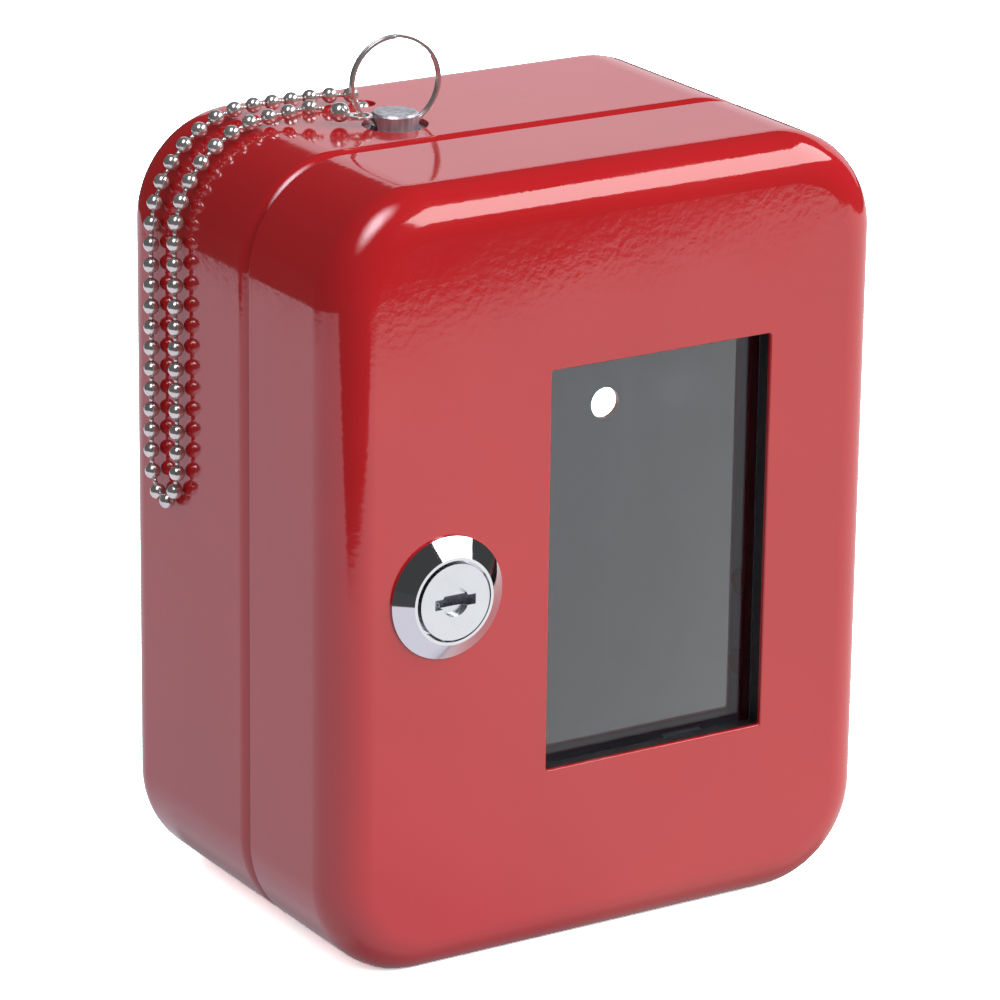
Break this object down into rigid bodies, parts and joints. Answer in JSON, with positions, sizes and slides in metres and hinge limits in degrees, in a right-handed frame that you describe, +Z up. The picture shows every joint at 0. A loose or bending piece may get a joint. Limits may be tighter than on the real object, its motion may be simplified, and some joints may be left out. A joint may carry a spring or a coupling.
{
  "type": "emergency key box",
  "caption": "Wall-mounted red steel key box with a hinged glass-windowed door, a cam lock and a steel striker held by a bead chain.",
  "frame": {"origin": "middle of the closed box's footprint, hinge knuckles and lock rosette included, on the surface it stands on", "axes": "+X to the right seen from the front, +Y towards the wall, +Z up; the door faces -Y"},
  "size_m": [0.1343, 0.089, 0.178],
  "materials": {
    "red_enamel": "glossy baked enamel with slight orange peel",
    "zinc_steel": "bright zinc plate",
    "nickel_plate": "polished nickel plate",
    "polished_steel": "turned and polished steel",
    "lock_chrome": "mirror chrome plate",
    "satin_chrome": "satin chrome",
    "black_rubber": "matte",
    "clear_glass": "clear, polished"
  },
  "bodies": {
    "cabinet": {"rear_shell": "red_enamel", "hinge_rear_leaf_upper": "red_enamel", "hinge_rear_leaf_lower": "red_enamel", "rear_leaf_rivets": "red_enamel", "hinge_pin_upper": "zinc_steel", "hinge_pin_lower": "zinc_steel", "key_hook": "zinc_steel", "hook_rivets": "zinc_steel", "striker_holder": "zinc_steel", "chain_stop": "nickel_plate", "bead_chain": "nickel_plate"},
    "door": {"door_shell": "red_enamel", "hinge_door_leaf_upper": "red_enamel", "hinge_door_leaf_lower": "red_enamel", "door_leaf_rivets": "red_enamel", "window_gasket": "black_rubber", "window_pane": "clear_glass", "pane_channel_left": "zinc_steel", "pane_channel_right": "zinc_steel", "pane_clip_bottom": "zinc_steel", "lock_housing": "lock_chrome", "lock_washer": "zinc_steel", "lock_nut": "zinc_steel"},
    "lock": {"lock_plug": "satin_chrome", "lock_cam": "zinc_steel", "cam_screw": "zinc_steel"},
    "striker": {"striker": "polished_steel", "split_ring": "nickel_plate", "chain_eyelet": "nickel_plate", "chain_coupling": "nickel_plate"}
  },
  "joints": [
    {"name": "door_hinge", "type": "hinge", "parent": "cabinet", "child": "door", "pos_m": [0.0632, -0.0073, 0.08], "axis": [0, 0, 1], "range_deg": [0, 170]},
    {"name": "lock_turn", "type": "hinge", "parent": "door", "child": "lock", "pos_m": [-0.0408, -0.031, 0.0794], "axis": [0, 1, 0], "range_deg": [0, 90]},
    {"name": "striker_lift", "type": "slide", "parent": "cabinet", "child": "striker", "axis": [0, 0, 1], "range_m": [0, 0.041]}
  ]
}
